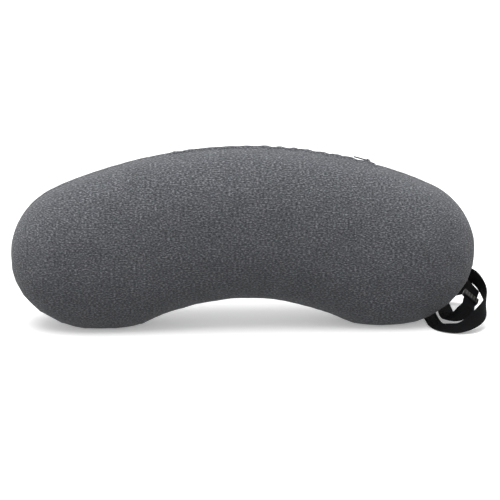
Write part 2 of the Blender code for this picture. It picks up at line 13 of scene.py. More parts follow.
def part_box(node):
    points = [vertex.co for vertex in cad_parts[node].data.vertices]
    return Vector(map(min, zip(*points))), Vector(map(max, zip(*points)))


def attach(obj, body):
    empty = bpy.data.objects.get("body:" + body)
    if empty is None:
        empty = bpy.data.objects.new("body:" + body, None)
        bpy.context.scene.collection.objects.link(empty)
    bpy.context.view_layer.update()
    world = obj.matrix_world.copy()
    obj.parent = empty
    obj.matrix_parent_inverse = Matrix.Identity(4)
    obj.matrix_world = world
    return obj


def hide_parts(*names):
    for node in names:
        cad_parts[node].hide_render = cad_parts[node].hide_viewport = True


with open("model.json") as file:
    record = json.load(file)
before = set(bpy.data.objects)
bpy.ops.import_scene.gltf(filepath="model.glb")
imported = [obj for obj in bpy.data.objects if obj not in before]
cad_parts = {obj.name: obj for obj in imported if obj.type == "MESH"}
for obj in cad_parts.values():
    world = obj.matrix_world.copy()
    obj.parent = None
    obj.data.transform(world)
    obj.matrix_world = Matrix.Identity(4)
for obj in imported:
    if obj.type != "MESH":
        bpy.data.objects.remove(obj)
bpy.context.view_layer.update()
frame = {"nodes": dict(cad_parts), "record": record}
nodes = frame["nodes"]

# ---------------------------------------------------------------- sizes, in metres
cover_low, cover_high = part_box("cover_front")
back_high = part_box("cover_back")[1]
LENGTH = cover_high[0] - cover_low[0]
THICKNESS = back_high[1] - cover_low[1]
HEIGHT = 0.248
ARCH_HEIGHT = 0.037
END_RADIUS = 0.098
END_LIFT = 0.0035
LOBE_RADIUS = 0.150
LOBE_SINK = 0.006
END_ROUNDING = 0.105
FULLNESS = 2.25
FIT = 0.0003

ZIP_LEFT = -0.100
ZIP_RIGHT = 0.185
ZIP_HALF = 0.0052
COIL_INNER = 0.0008
COIL_OUTER = 0.0022
TOOTH_PITCH = 0.0015
STOP_REACH = 0.007
ZIP_DEPTH = 0.0028
TUCK_DEPTH = 0.0003        # the cloth between the slider's plates
FRONT_LIP = 0.0025
BACK_LIP = 0.0004
LIP_PLACE = ZIP_HALF + 0.0022
LIP_HALF = 0.0034
TOPSTITCH_PLACE = ZIP_HALF + 0.0052
TOPSTITCH_DEPTH = 0.0006
TOPSTITCH_HALF = 0.0012
ZIP_END_BLEND = 0.002
SEAM_DEPTH = 0.0011
SEAM_HALF = 0.0013
SEAM_PULL = 0.0010
SEAM_PULL_HALF = 0.012
SEAM_RIDGE = 0.0005
RIDGE_PLACE = 0.0042
RIDGE_HALF = 0.0016
PUCKER = 0.0010
PUCKER_LENGTH = 0.0230
PUCKER_SPREAD = (0.0040, 0.0072, 0.012, 0.034)   # across the seam: from, full, full, to
PUCKER_BACK_LAG = 1.9
SEAM_WAVE_SHARE = 0.16    # how much of a pucker the plain seam has
SOFT_WAVES = 0.0011
CREASES = 0.9 * SOFT_WAVES
CREASES_FROM = 0.05
CREASES_TO = 0.16
SOLE_TOP = 0.0035         # the cloth is pressed flat from here down
SOLE_GAP = 0.0002
BACK_CLOTH_SHIFT = (3.7, 1.3)       # sets the back's cloth apart from the front's

WEBBING_WIDTH = 0.020
WEBBING_WALL = 0.0014
WEBBING_STEP = 0.006
PATCH_WALL = 0.0010
PATCH_LIFT = 0.0007
PATCH_MARGIN = 0.005
PATCH_LENGTH = 0.030
ROOT_FROM_TIP = 0.058
RIGHT_ROOT_HEIGHT = 0.057
LEFT_ROOT_HEIGHT = 0.100
SEWN_LENGTH = 0.024
SEWN_STEPS = 3
SEWN_GAP = 3 * FIT
LEFT_HANG = (0.0, 0.0040, -0.0300)       # the socket's bar, from the end of the left sewn length
BUCKLE_BAR = 0.0030
BUCKLE_PLATE = 0.0036
RETURN_LENGTH = 0.016
WRAP_START = 2.6          # radii from the bar at which the webbing's two layers part
SEAM_INSET = 0.0022       # a sewn line, in from an edge
KEEPER_SPAN = 18          # the keeper rides on the straight run from this row of the route to the next
THREAD = 0.00022
HEAVY_THREAD = 0.00028
TOPSTITCH_PITCH = 0.0016
END_ROW = 0.0025          # the stitches across the zip, from its end
COIL_WIRE = 0.00027
KEEPER_BAR = (0.0096, 0.0022, 0.0010)       # a grip bar along the webbing, across it and off the face
KEEPER_FACE = 0.0028      # a moulded face, from the piece's middle plane
PLUG_BAR = (0.0008, 0.0160, 0.0006)
PLUG_FACE = 0.0018
SOCKET_BAR = (0.0010, 0.0150, 0.0008)
SOCKET_FACE = 0.0039
METAL_EDGE = 0.00028
STOP_EDGE = 0.00035
PLASTIC_EDGE = 0.0005
ARM_EDGE = 0.0004
STRAP_EDGE = 0.0003

# The long half's route: a point as its distance out from the right tip, Y and Z, and the
# direction of the webbing's upper edge there.
RIGHT_ROUTE = (
    ((-0.024, 0.0690, 0.0560), (0.0, 0.0, 1.0)),
    ((-0.004, 0.0620, 0.0530), (0.0, 0.0, 1.0)),
    ((0.0120, 0.0420, 0.0480), (0.05, 0.1, 1.0)),
    ((0.0180, 0.0120, 0.0395), (0.1, 0.2, 1.0)),
    ((0.0165, -0.0180, 0.0310), (0.1, 0.3, 1.0)),
    ((0.0070, -0.0450, 0.0235), (-0.1, 0.5, 0.9)),
    ((-0.0090, -0.0640, 0.0150), (-0.1, 0.8, 0.7)),
    ((-0.0280, -0.0690, 0.0075), (0.1, 0.9, 0.45)),
    ((-0.0460, -0.0590, 0.0050), (0.5, 0.8, 0.3)),
    ((-0.0550, -0.0380, 0.0025), (0.9, 0.3, 0.1)),
    ((-0.0560, -0.0120, 0.0012), (1.0, 0.0, 0.0)),
    ((-0.0560, 0.0160, 0.0011), (1.0, 0.0, 0.0)),
    ((-0.0540, 0.0420, 0.0012), (1.0, -0.2, 0.0)),
    ((-0.0440, 0.0660, 0.0025), (0.7, -0.7, 0.1)),
    ((-0.0250, 0.0800, 0.0090), (0.2, -0.9, 0.5)),
    ((-0.0040, 0.0740, 0.0230), (-0.3, -0.4, 0.9)),
    ((0.0060, 0.0480, 0.0380), (-0.6, 0.0, 0.8)),
    ((0.0060, 0.0210, 0.0400), (-0.74, 0.15, 0.65)),
    ((0.0025, 0.0105, 0.0370), (-0.74, 0.15, 0.65)),
    ((-0.0080, -0.0210, 0.0280), (-0.74, 0.15, 0.65)),
    ((-0.0115, -0.0315, 0.0250), (-0.74, 0.2, 0.64)),
    ((-0.0240, -0.0400, 0.0185), (-0.4, 0.7, 0.6)),
    ((-0.0360, -0.0300, 0.0140), (0.6, 0.7, 0.3)),
    ((-0.0370, -0.0080, 0.0110), (0.95, 0.1, 0.2)),
    ((-0.0350, 0.0180, 0.0100), (1.0, 0.0, 0.1)),
    ((-0.0350, 0.0450, 0.0110), (1.0, -0.1, 0.0)),
    ((-0.0440, 0.0760, 0.0125), (0.8, 0.5, 0.0)),
    ((-0.0660, 0.0960, 0.0100), (0.3, 0.9, 0.0)),
    ((-0.0900, 0.1000, 0.0050), (0.0, 1.0, 0.0)),
)
PLUG_PLACE = (-0.1130, 0.1000, 0.0042)

# ---------------------------------------------------------------- the pillow's outline
END_X = LENGTH / 2 - END_RADIUS
TIP_Z = END_RADIUS + END_LIFT
TIP_DROP = HEIGHT - TIP_Z
CROWN_RADIUS = (END_X**2 + TIP_DROP**2 - END_RADIUS**2) / (2 * (TIP_DROP - END_RADIUS))
CROWN_Z = HEIGHT - CROWN_RADIUS
LOBE_Z = LOBE_RADIUS - LOBE_SINK
LOBE_X = END_X - sqrt((LOBE_RADIUS - END_RADIUS) ** 2 - (LOBE_Z - TIP_Z) ** 2)
ARCH_DROP = LOBE_Z - ARCH_HEIGHT
ARCH_RADIUS = (LOBE_X**2 + ARCH_DROP**2 - LOBE_RADIUS**2) / (2 * (LOBE_RADIUS - ARCH_DROP))
ARCH_Z = ARCH_HEIGHT - ARCH_RADIUS


def half_outlines():
    """The right half's edge as two chains of arcs (x, z, radius, from, to), from the tip to mid length."""
    crown_join = atan2(TIP_Z - CROWN_Z, END_X)
    lobe_join = atan2(TIP_Z - LOBE_Z, END_X - LOBE_X)
    arch_join = atan2(ARCH_Z - LOBE_Z, -LOBE_X)
    crown = (
        (END_X, TIP_Z, END_RADIUS, 0.0, crown_join),
        (0.0, CROWN_Z, CROWN_RADIUS, crown_join, pi / 2),
    )
    arch = (
        (END_X, TIP_Z, END_RADIUS, 0.0, lobe_join),
        (LOBE_X, LOBE_Z, LOBE_RADIUS, lobe_join, arch_join),
        (0.0, ARCH_Z, ARCH_RADIUS, arch_join + pi, pi / 2),
    )
    return crown, arch


def along(chain, share):
    """The point at a share of a chain's length."""
    lengths = [radius * abs(end - start) for _, _, radius, start, end in chain]
    left = share * sum(lengths)
    for (x, z, radius, start, end), length in zip(chain, lengths):
        if left <= length + 1e-9:
            break
        left -= length
    angle = start + (end - start) * min(left / length, 1.0)
    return x + radius * cos(angle), z + radius * sin(angle)


CROWN_EDGE, ARCH_EDGE = half_outlines()


# ---------------------------------------------------------------- materials
class Value:
    """A socket that carries a number, on which Python's operators add Math nodes."""

    def __init__(self, shader, socket):
        self.shader = shader
        self.socket = socket

    def math(self, operation, *inputs):
        return self.shader.node("ShaderNodeMath", {"operation": operation}, dict(enumerate(inputs)))

    def __add__(self, other):
        return self.math("ADD", self, other)

    def __radd__(self, other):
        return self.math("ADD", other, self)

    def __sub__(self, other):
        return self.math("SUBTRACT", self, other)

    def __rsub__(self, other):
        return self.math("SUBTRACT", other, self)

    def __mul__(self, other):
        return self.math("MULTIPLY", self, other)

    def __rmul__(self, other):
        return self.math("MULTIPLY", other, self)

    def sine(self):
        return self.math("SINE", self)

    def absolute(self):
        return self.math("ABSOLUTE", self)

    def between(self, low, high):
        """0 at low, 1 at high, smooth in between and level beyond."""
        return self.shader.node("ShaderNodeMapRange", {"interpolation_type": "SMOOTHSTEP"},
                                {"Value": self, "From Min": low, "From Max": high})


class Shader:
    """A material, its Principled shader and one method that adds any other node."""

    def __init__(self, name, roughness, metallic=0.0, sheen=0.0, coat=0.0):
        self.material = bpy.data.materials.new(name)
        self.material.use_nodes = True
        self.tree = self.material.node_tree
        self.principled = self.tree.nodes["Principled BSDF"]
        self.principled.inputs["Roughness"].default_value = roughness
        self.principled.inputs["Metallic"].default_value = metallic
        self.principled.inputs["Sheen Weight"].default_value = sheen
        self.principled.inputs["Sheen Roughness"].default_value = 0.55
        self.principled.inputs["Coat Weight"].default_value = coat

    def node(self, kind, settings=None, inputs=None, output=0):
        made = self.tree.nodes.new(kind)
        for name, value in (settings or {}).items():
            if name == "stops":
                self.set_stops(made.color_ramp, value)
            else:
                setattr(made, name, value)
        for name, value in (inputs or {}).items():
            if isinstance(value, Value):
                self.tree.links.new(value.socket, made.inputs[name])
            else:
                made.inputs[name].default_value = value
        return Value(self, made.outputs[output])

    @staticmethod
    def set_stops(ramp, stops):
        while len(ramp.elements) < len(stops):
            ramp.elements.new(0.5)
        for element, (place, colour) in zip(ramp.elements, stops):
            element.position = place
            element.color = (*colour, 1.0)

    def place(self, scale):
        """Object coordinates, stretched by scale."""
        found = self.node("ShaderNodeTexCoord", output="Object")
        return self.node("ShaderNodeMapping", None, {"Vector": found, "Scale": scale})

    def surface(self, name, scale):
        """A piece's own UV map, in metres along and across its cloth, stretched by scale."""
        found = self.node("ShaderNodeUVMap", {"uv_map": name})
        return self.node("ShaderNodeMapping", None, {"Vector": found, "Scale": scale})

    def noise(self, vector, scale, detail=2.0, roughness=0.5):
        return self.node("ShaderNodeTexNoise", None, {
            "Vector": vector, "Scale": scale, "Detail": detail, "Roughness": roughness})

    def ramp(self, value, *stops):
        return self.node("ShaderNodeValToRGB", {"stops": stops}, {"Fac": value})

    def mix(self, share, first, second):
        settings = {"data_type": "RGBA", "blend_type": "MIX"}
        made = self.node("ShaderNodeMix", settings, {0: share}, output=2)
        for index, colour in ((6, first), (7, second)):
            if isinstance(colour, Value):
                self.tree.links.new(colour.socket, made.socket.node.inputs[index])
            else:
                made.socket.node.inputs[index].default_value = (*colour, 1.0)
        return made

    def split(self, vector):
        return [self.node("ShaderNodeSeparateXYZ", None, {0: vector}, output=axis) for axis in range(3)]

    def feed(self, socket, value):
        self.tree.links.new(value.socket, self.principled.inputs[socket])

    def bump(self, height, strength, distance):
        raised = self.node("ShaderNodeBump", None, {
            "Height": height, "Strength": strength, "Distance": distance})
        self.feed("Normal", raised)


def jersey():
    """Melange jersey: short light and dark dashes along the courses, over fine knit wales."""
    made = Shader("heather_jersey", 0.93, sheen=0.12)
    dashes = made.noise(made.surface("cloth", (290.0, 600.0, 1.0)), 1.0, 2.0, 0.55)
    flecks = made.noise(made.surface("cloth", (420.0, 1250.0, 1.0)), 1.0, 2.0, 0.6)
    clouds = made.noise(made.surface("cloth", (30.0, 46.0, 1.0)), 1.0, 3.0, 0.5)
    tone = dashes * 0.66 + flecks * 0.34 + (clouds - 0.5) * 0.07
    made.feed("Base Color", made.ramp(
        tone, (0.36, (0.023, 0.024, 0.028)), (0.47, (0.070, 0.073, 0.082)),
        (0.54, (0.122, 0.127, 0.141)), (0.66, (0.325, 0.335, 0.356))))
    along_course, across_course, _ = made.split(made.surface("cloth", (4200.0, 3300.0, 1.0)))
    loops = along_course.sine() * (across_course + along_course.sine() * 0.9).sine()
    made.feed("Roughness", 0.86 + dashes * 0.12)
    made.bump(loops * 0.35 + dashes * 0.9 + flecks * 0.6, 0.6, 0.0007)
    return made.material


def webbing_cloth():
    """Polypropylene webbing: chevron ribs along the strap with plain edges, and hardly any gloss."""
    made = Shader("black_webbing", 0.74)
    made.principled.inputs["Specular IOR Level"].default_value = 0.08
    along_strap, across_strap, _ = made.split(made.surface("cloth", (1.0, 1.0, 1.0)))
    chevron = across_strap.math("PINGPONG", across_strap, 0.0025)
    weave = (along_strap * 3600.0 + chevron * 5200.0).sine()
    ribs = (across_strap * 5000.0).sine()
    edge = across_strap.absolute().between(0.0078, 0.0088)
    threads = made.noise(made.surface("cloth", (900.0, 3000.0, 1.0)), 1.0, 2.0)
    binding = (along_strap * 5200.0).sine() * 0.5
    height = (weave * 0.6 + ribs * 0.35) * (1.0 - edge) + edge * binding
    made.feed("Base Color", made.mix(
        (weave * 0.25 + threads).between(0.25, 0.85), (0.0022, 0.0022, 0.0026), (0.0110, 0.0112, 0.0125)))
    made.feed("Roughness", 0.68 + threads * 0.20)
    made.bump(height + threads * 0.5, 0.7, 0.0004)
    return made.material


def moulded(name, colour, roughness, metallic=0.0, coat=0.0):
    """Moulded plastic or painted casting with a fine grain and slightly worn, glossier patches."""
    made = Shader(name, roughness, metallic=metallic, coat=coat)
    grain = made.noise(made.place((1.0, 1.0, 1.0)), 5200.0, 2.0)
    handling = made.noise(made.place((1.0, 1.0, 1.0)), 160.0, 3.0)
    lighter = tuple(channel * 1.9 + 0.002 for channel in colour)
    made.feed("Base Color", made.mix(handling.between(0.35, 0.8), colour, lighter))
    made.feed("Roughness", roughness - 0.10 + handling * 0.22)
    made.bump(grain, 0.25, 0.00008)
    return made.material


def woven(name, dark, light, pitch, roughness=0.85):
    """A plain weave on object coordinates, for tapes, patches and the lining."""
    made = Shader(name, roughness, sheen=0.15)
    across, depth, upward = made.split(made.place((2 * pi / pitch,) * 3))
    weave = across.sine() * (upward + depth).sine()
    yarn = made.noise(made.place((1.0, 1.0, 1.0)), 1.2 / pitch, 2.0)
    tone = (weave * 0.25 + yarn).between(0.15, 0.85)
    made.feed("Base Color", made.mix(tone, dark, light))
    made.feed("Roughness", roughness - 0.08 + yarn * 0.15)
    made.bump(weave * 0.6 + yarn * 0.6, 0.5, pitch * 0.3)
    return made.material


def cell_foam():
    made = Shader("cushion_foam", 0.95)
    cells = made.node("ShaderNodeTexVoronoi", {"feature": "F1"}, {
        "Vector": made.place((1.0, 1.0, 1.0)), "Scale": 700.0})
    age = made.noise(made.place((1.0, 1.0, 1.0)), 14.0, 3.0)
    made.feed("Base Color", made.mix(
        (cells * 0.6 + age * 0.5).between(0.2, 0.8), (0.90, 0.87, 0.74), (0.70, 0.64, 0.46)))
    made.feed("Roughness", 0.88 + cells * 0.1)
    made.bump(cells, 0.6, 0.0008)
    return made.material


def thread(name, dark, light):
    """Twisted sewing thread."""
    made = Shader(name, 0.7, sheen=0.2)
    twist, _, rise = made.split(made.place((5200.0, 5200.0, 5200.0)))
    ply = (twist + rise).sine()
    fibre = made.noise(made.place((1.0, 1.0, 1.0)), 3500.0, 2.0)
    made.feed("Base Color", made.mix((ply * 0.3 + fibre).between(0.1, 0.9), dark, light))
    made.feed("Roughness", 0.6 + fibre * 0.2)
    made.bump(ply, 0.4, 0.0001)
    return made.material


JERSEY = jersey()
WEBBING = webbing_cloth()
PLASTIC = moulded("satin_black_plastic", (0.0035, 0.0035, 0.0038), 0.40)
# The keeper is black plastic like the buckle. Its grip bars get a lighter grey-green as a painted
# highlight where the ribs catch the light.
KEEPER_PAINTED_HIGHLIGHT = moulded("keeper_painted_highlight", (0.055, 0.060, 0.050), 0.34)
CASTING = moulded("painted_casting", (0.030, 0.030, 0.033), 0.34, metallic=0.7, coat=0.3)
COIL = moulded("nylon_coil", (0.030, 0.031, 0.034), 0.42)
TAPE = woven("zip_tape_weave", (0.020, 0.020, 0.022), (0.075, 0.077, 0.084), 0.0011)
PATCH = woven("patch_weave", (0.004, 0.004, 0.005), (0.018, 0.018, 0.021), 0.0009)
LINING = woven("lining_weave", (0.66, 0.66, 0.64), (0.86, 0.86, 0.84), 0.0008, 0.9)
FOAM = cell_foam()
BLACK_THREAD = thread("black_thread", (0.010, 0.010, 0.011), (0.060, 0.061, 0.066))
GREY_THREAD = thread("grey_thread", (0.050, 0.052, 0.058), (0.170, 0.175, 0.190))


# ---------------------------------------------------------------- making pieces
def mesh_of(name, bm, smooth_angle=35):
    """Turns a bmesh into a smooth-shaded mesh, with a crease where faces meet at more than the angle."""
    mesh = bpy.data.meshes.new(name)
    bm.to_mesh(mesh)
    bm.free()
    mesh.shade_smooth()
    mesh.set_sharp_from_angle(angle=radians(smooth_angle))
    return mesh


def add_piece(name, mesh, material, body, replaced=()):
    piece = bpy.data.objects.new(name, mesh)
    mesh.materials.append(material)
    bpy.context.scene.collection.objects.link(piece)
    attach(piece, body)
    if replaced:
        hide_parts(*replaced)
    return piece


def repaint(node, material):
    data = nodes[node].data
    data.materials.clear()
    data.materials.append(material)


def refined(name, node, material, bevel, details=None):
    """A CAD node's own shape with its edges rounded. details adds to the bmesh before that."""
    bm = bmesh.new()
    bm.from_mesh(nodes[node].data)
    bmesh.ops.remove_doubles(bm, verts=bm.verts, dist=2e-6)
    bmesh.ops.dissolve_limit(bm, angle_limit=radians(2), verts=bm.verts, edges=bm.edges)
    sharp = [edge for edge in bm.edges if edge.is_manifold and edge.calc_face_angle(0.0) > radians(25)]
    bmesh.ops.bevel(bm, geom=sharp, offset=bevel, offset_type="OFFSET", segments=3, profile=0.5,
                    affect="EDGES", material=-1, clamp_overlap=True)
    if details:
        details(bm)
    return add_piece(name, mesh_of(name, bm), material, BODY_OF[node], (node,))


BODY_OF = {node: body for body, held in frame["record"]["behaviour"]["bodies"].items() for node in held}


# ---------------------------------------------------------------- the cover
ROUND = 200               # points round the section, and along the pillow
LONG = 440


def section_at(share):
    """The crown and arch points of the cross-section at share, which runs from -1 to 1 between the
    tips, with its half thickness."""
    side = 1.0 if share >= 0 else -1.0
    top_x, top_z = along(CROWN_EDGE, 1 - abs(share))
    low_x, low_z = along(ARCH_EDGE, 1 - abs(share))
    from_tip = LENGTH / 2 - (top_x + low_x) / 2
    closing = max(1 - from_tip / END_ROUNDING, 0.0)
    depth = THICKNESS / 2 * max(1 - closing**FULLNESS, 0.0) ** (1 / FULLNESS)
    return Vector((side * top_x, 0.0, top_z)), Vector((side * low_x, 0.0, low_z)), depth


def form_point(section, turn):
    """The point of a section at this angle round it: 0 is the back and a quarter turn the crown."""
    top, low, depth = section
    upward, backward = (
        abs(value) ** (2 / FULLNESS) * (1 if value > 0 else -1) for value in (sin(turn), cos(turn))
    )
    point = (top + low + (top - low) * upward) / 2
    point.y = depth * backward
    return point


def smooth_step(value, low, high):
    share = min(max((value - low) / (high - low), 0.0), 1.0)
    return share * share * (3 - 2 * share)


def bell(value, centre, width):
    return exp(-((value - centre) / width) ** 2)


def window(value, low, high, blend):
    """1 between low and high, with a smooth fall to 0 over blend on each side of both ends."""
    opening = smooth_step(value, low - blend, low + blend)
    return opening * (1 - smooth_step(value, high - blend, high + blend))


def seam_relief(across):
    """The plain crown seam: a groove, a wider pull and a ridge on each side."""
    groove = SEAM_DEPTH * bell(across, 0.0, SEAM_HALF) + SEAM_PULL * bell(across, 0.0, SEAM_PULL_HALF)
    return SEAM_RIDGE * bell(across, RIDGE_PLACE, RIDGE_HALF) - groove


def zip_relief(across, front):
    """The zipped stretch: a slot over the coils, cloth tucked beside it, and a stitched lip."""
    slot = 1 - smooth_step(across, COIL_OUTER, COIL_OUTER + 0.0011)
    tuck = 1 - smooth_step(across, ZIP_HALF - 0.0006, ZIP_HALF + 0.0016)
    lip = (FRONT_LIP if front else BACK_LIP) * bell(across, LIP_PLACE, LIP_HALF)
    stitched = TOPSTITCH_DEPTH * bell(across, TOPSTITCH_PLACE, TOPSTITCH_HALF)
    return (lip - stitched) * (1 - tuck) - TUCK_DEPTH * tuck - ZIP_DEPTH * slot


def pucker_relief(point, run, across, crown, front):
    """Gathers across the seam, of uneven length and height, strong along the zip's right side."""
    drift = noise.noise(Vector((point.x * 16.0, 3.1 if front else 8.7, 0.0)))
    wave = sin(2 * pi * (run / PUCKER_LENGTH + drift * 0.9) + (0.0 if front else PUCKER_BACK_LAG))
    uneven = 0.65 + 0.7 * noise.noise(Vector((point.x * 34.0, 1.7 if front else 6.1, 4.0)))
    reach = smooth_step(across, *PUCKER_SPREAD[:2]) * (1 - smooth_step(across, *PUCKER_SPREAD[2:]))
    strength = 0.15 + 0.85 * smooth_step(run, -0.020, 0.040)
    pulled = smooth_step(run, ZIP_LEFT - 0.02, ZIP_LEFT + 0.02) * (
        1 - smooth_step(run, ZIP_RIGHT - 0.012, ZIP_RIGHT + 0.012))
    return PUCKER * wave * uneven * reach * (crown * pulled * strength + SEAM_WAVE_SHARE)


def cushion_relief(point):
    """Soft waves all over, and creases low down where the lobes bear the weight."""
    waves = noise.noise(point * 13.0) + 0.35 * noise.noise(point * 41.0 + Vector((5.0, 2.0, 7.0)))
    stretched = Vector((point.x * 21.0, point.y * 9.0, point.z * 34.0)) + Vector((3.0, 9.0, 1.0))
    crease = (1 - abs(noise.noise(stretched))) ** 6 - 0.4
    return SOFT_WAVES * waves + CREASES * crease * (1 - smooth_step(point.z, CREASES_FROM, CREASES_TO))


def relief(point, upward):
    """How far the cloth stands out from the form at this point. upward is 1 at the crown and -1 at
    the arch."""
    run = atan2(point.x, point.z - CROWN_Z) * CROWN_RADIUS
    across = abs(point.y)
    front = point.y < 0
    crown = smooth_step(upward, 0.2, 0.6)
    zipped = crown * window(run, ZIP_LEFT, ZIP_RIGHT, ZIP_END_BLEND)
    height = seam_relief(across) * (1 - zipped) + zip_relief(across, front) * zipped
    return height + pucker_relief(point, run, across, crown, front) + cushion_relief(point)


def running_lengths(points):
    """The length of the line through points, from the first to each of them."""
    lengths = [0.0]
    for start, end in zip(points, points[1:]):
        lengths.append(lengths[-1] + (end - start).length)
    return lengths


def cloth_lengths(section, steps=24):
    """The length round a section from its mid height to the crown, by angle step."""
    return running_lengths([form_point(section, pi / 2 * k / steps) for k in range(steps + 1)])


def lengths_to_tip(steps=240):
    """The length along the middle of the front panel from mid length out to each of steps shares."""
    middle = []
    for k in range(steps + 1):
        top, low, depth = section_at(k / steps)
        middle.append((top + low) / 2 - Vector((0.0, depth, 0.0)))
    return running_lengths(middle)


def read_table(table, share):
    """The table's value at a share of its length."""
    place = min(max(share, 0.0), 1.0) * (len(table) - 1)
    whole = min(int(place), len(table) - 2)
    return table[whole] + (table[whole + 1] - table[whole]) * (place - whole)


def cover_bmesh():
    """The cover as one closed surface, with its cloth laid out in metres for the weave."""
    to_tip = lengths_to_tip()
    bm = bmesh.new()
    bmesh.ops.create_uvsphere(bm, u_segments=ROUND, v_segments=LONG, radius=1.0)
    sections = {}
    places = {}
    for vert in bm.verts:
        share = round(max(min(vert.co.z, 1.0), -1.0), 5)
        if share not in sections:
            section = section_at(share)
            sections[share] = (section, cloth_lengths(section))
        section, lengths = sections[share]
        turn = atan2(vert.co.y, vert.co.x)
        turn += 0.4 * sin(2 * turn)
        vert.co = form_point(section, turn)
        top, low, _ = section
        quarter = abs(turn) if abs(turn) < pi / 2 else pi - abs(turn)
        reach = read_table(lengths, quarter / (pi / 2))
        rib = (top - low).normalized() if (top - low).length > 1e-6 else Vector((1.0, 0.0, 0.0))
        run = read_table(to_tip, abs(share)) * (1 if share > 0 else -1)
        if turn < 0:
            reach = -reach
        places[vert] = (run + rib.x * reach, (top.z + low.z) / 2 + rib.z * reach, sin(turn))
    bmesh.ops.recalc_face_normals(bm, faces=bm.faces)
    bm.normal_update()
    cloth = bm.loops.layers.uv.new("cloth")
    for face in bm.faces:
        back = face.calc_center_median().y > 0
        for loop in face.loops:
            u, v, _ = places[loop.vert]
            loop[cloth].uv = (BACK_CLOTH_SHIFT[0] - u, BACK_CLOTH_SHIFT[1] + v) if back else (u, v)
    sole_depth = SOLE_TOP - SOLE_GAP
    heights = [(vert, relief(vert.co, places[vert][2])) for vert in bm.verts]
    for vert, height in heights:
        vert.co += vert.normal * height
        if vert.co.z < SOLE_TOP:
            vert.co.z = SOLE_GAP + sole_depth * exp((vert.co.z - SOLE_TOP) / sole_depth)
    return bm


cover_mesh = cover_bmesh()
COVER = BVHTree.FromBMesh(cover_mesh)
cover_shape = mesh_of("pillow_cover", cover_mesh, 80)
panels = ("cover_front", "cover_back")
pillow_cover = add_piece("pillow_cover", cover_shape, JERSEY, "pillow", panels)


def on_cover(point, direction):
    """Where a straight line meets the cover, with the cloth's direction outwards there."""
    found, normal, _, _ = COVER.ray_cast(point, direction)
    return found, normal


# ---------------------------------------------------------------- threads
def tube(bm, points, radius, sides=6):
    """A closed round thread: a disc at the first point, extruded from each point to the next. The
    discs between its two ends are taken out."""
    turns = [2 * pi * k / sides for k in range(sides)]
    rim = bmesh.ops.create_circle(bm, cap_ends=True, segments=sides, radius=radius)["verts"]
    disc = rim[0].link_faces[0]
    for i, point in enumerate(points):
        heading = (points[min(i + 1, len(points) - 1)] - points[max(i - 1, 0)]).normalized()
        across = heading.orthogonal().normalized()
        upward = heading.cross(across)
        ring = [point + (across * cos(turn) + upward * sin(turn)) * radius for turn in turns]
        if i > 0:
            first = min(range(sides), key=lambda k: (ring[k] - before).length)
            ring = ring[first:] + ring[:first]
            made = bmesh.ops.extrude_face_region(bm, geom=[disc])["geom"]
            if i > 1:
                bm.faces.remove(disc)
            disc = next(item for item in made if isinstance(item, bmesh.types.BMFace))
        before = ring[0]
        for vert, corner in zip(disc.verts, ring):
            vert.co = corner


def stitch(bm, start, end, outward, radius):
    """One stitch: a thread that rises out of the cloth, runs over it and dips back in."""
    reach = end - start
    steps = ((0.0, -0.9), (0.12, 0.5), (0.5, 0.9), (0.88, 0.5), (1.0, -0.9))
    tube(bm, [start + reach * share + outward * radius * rise for share, rise in steps], radius)


def stitch_row(bm, places, length, radius):
    """Stitches of this length along places, each (point, outward), with a gap between them."""
    for (start, out), (end, _) in zip(places[::2], places[1::2]):
        reach = (end - start).normalized() * length
        stitch(bm, start, start + reach, out, radius)


def crown_place(run, y):
    """The point on the cover above the crown at this distance along it and from the seam's plane."""
    turn = run / CROWN_RADIUS
    outward = Vector((sin(turn), 0.0, cos(turn)))
    axis = Vector((0.0, y, CROWN_Z))
    return on_cover(axis + outward * (CROWN_RADIUS + 0.05), -outward)


def zip_stitching():
    """Topstitching along both lips of the zip and across its two ends."""
    bm = bmesh.new()
    count = int((ZIP_RIGHT - ZIP_LEFT) / TOPSTITCH_PITCH) // 2 * 2
    for side in (-1, 1):
        y = side * TOPSTITCH_PLACE
        places = [crown_place(ZIP_LEFT + k * TOPSTITCH_PITCH, y) for k in range(count)]
        stitch_row(bm, places, 0.0024, THREAD)
    for run in (ZIP_LEFT - END_ROW, ZIP_RIGHT + END_ROW):
        places = [crown_place(run, 0.0013 * (k - 6.5)) for k in range(14)]
        stitch_row(bm, places, 0.0018, THREAD)
    bmesh.ops.recalc_face_normals(bm, faces=bm.faces)
    return bm


zip_threads = mesh_of("zip_topstitching", zip_stitching())
add_piece("zip_topstitching", zip_threads, GREY_THREAD, "pillow")


# ---------------------------------------------------------------- the zip
def zip_teeth(side):
    """One coil: a loop of monofilament for each tooth, whose head bulges towards the other coil."""
    bm = bmesh.new()
    loop = (                        # out from the coils' middle, above the crown, along the zip
        (COIL_OUTER, -0.0013, -0.7),
        (COIL_INNER + 0.0002, -0.0012, -0.3),
        (COIL_INNER - COIL_WIRE / 2, -0.0005, 0.0),
        (COIL_INNER + 0.0002, 0.0001, 0.3),
        (COIL_OUTER - 0.0003, 0.0001, 0.6),
        (COIL_OUTER, -0.0005, 0.8),
    )
    count = int((ZIP_RIGHT - ZIP_LEFT - 2 * STOP_REACH) / TOOTH_PITCH)
    for k in range(count):
        run = ZIP_LEFT + STOP_REACH + (k + (0.75 if side > 0 else 0.25)) * TOOTH_PITCH
        turn = run / CROWN_RADIUS
        outward = Vector((sin(turn), 0.0, cos(turn)))
        heading = Vector((cos(turn), 0.0, -sin(turn)))
        points = [Vector((0.0, side * y, CROWN_Z)) + outward * (CROWN_RADIUS + rise)
                  + heading * (shift * TOOTH_PITCH / 3) for y, rise, shift in loop]
        tube(bm, points, COIL_WIRE)
    bmesh.ops.recalc_face_normals(bm, faces=bm.faces)
    return bm


